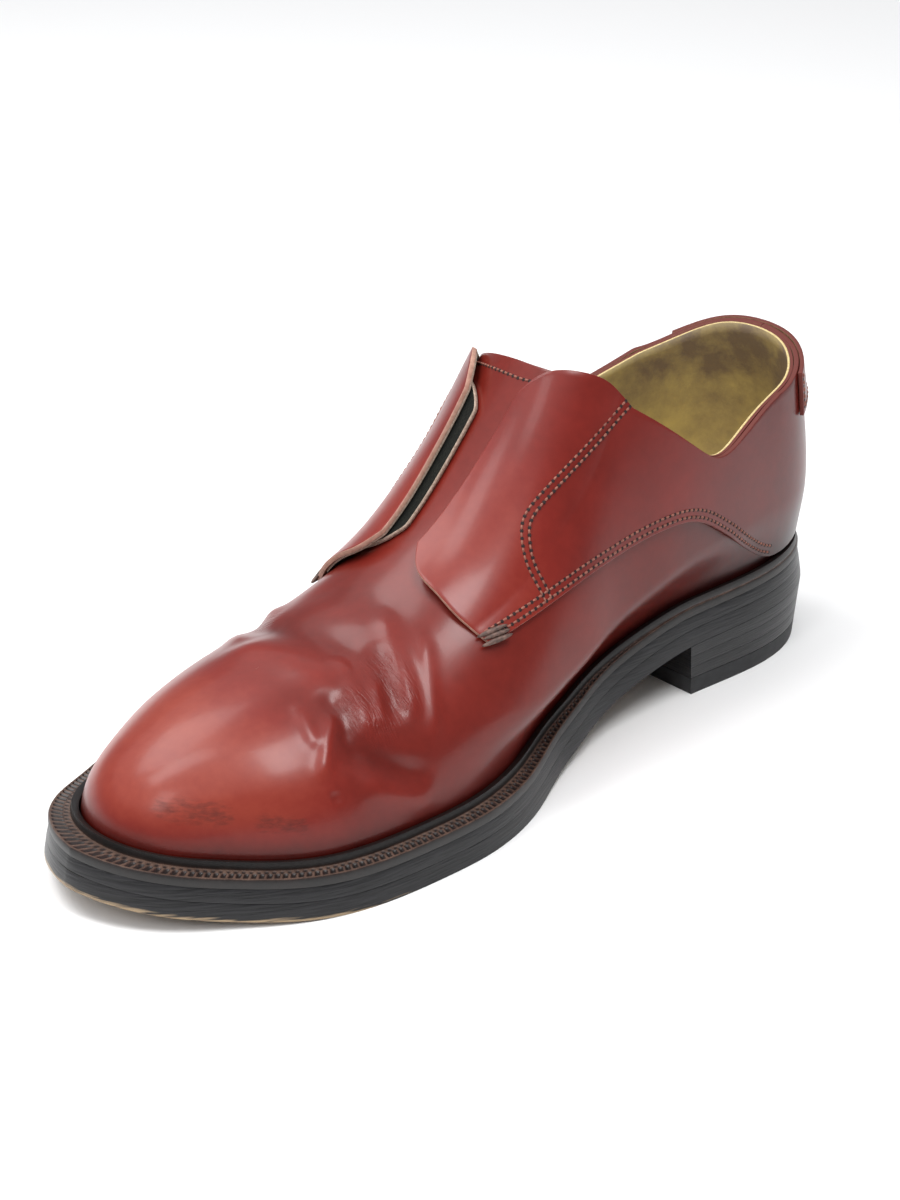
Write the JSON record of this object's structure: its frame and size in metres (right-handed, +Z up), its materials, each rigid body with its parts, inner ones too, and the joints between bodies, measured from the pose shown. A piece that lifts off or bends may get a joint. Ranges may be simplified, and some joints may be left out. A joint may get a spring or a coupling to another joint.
{
  "type": "slip-on shoe",
  "caption": "Laceless low leather shoe for the right foot: whole vamp with tongue, quarters ending in broad free flaps, storm welt, leather sole and stacked heel.",
  "frame": {"origin": "on the floor, under the centre of the shoe's bounding box", "axes": "+Z up; the toe points along -Y and the heel along +Y; +X is the medial side, the inner side of the right foot"},
  "size_m": [0.119, 0.2902, 0.1182],
  "materials": {
    "vamp_leather": "polished reddish brown calf, smooth and glossy",
    "quarter_leather": "polished reddish brown calf, smooth and glossy, with raw tan edges",
    "felt": "dark green black pile felt, matt",
    "sock_leather": "khaki yellow lining leather, worn and matt",
    "welt_leather": "dark brown, ribbed by a wheel, satin",
    "sole_leather": "blackened edge, satin",
    "top_lift_rubber": "black rubber, matt"
  },
  "bodies": {
    "root": {"upper": "vamp_leather", "quarter_medial": "quarter_leather", "quarter_lateral": "quarter_leather", "under_flap_medial": "felt", "under_flap_lateral": "felt", "back_strap": "quarter_leather", "insole": "sock_leather", "welt": "welt_leather", "midsole": "sole_leather", "outsole": "sole_leather", "heel_stack": "sole_leather", "heel_top_lift": "top_lift_rubber"}
  },
  "joints": []
}
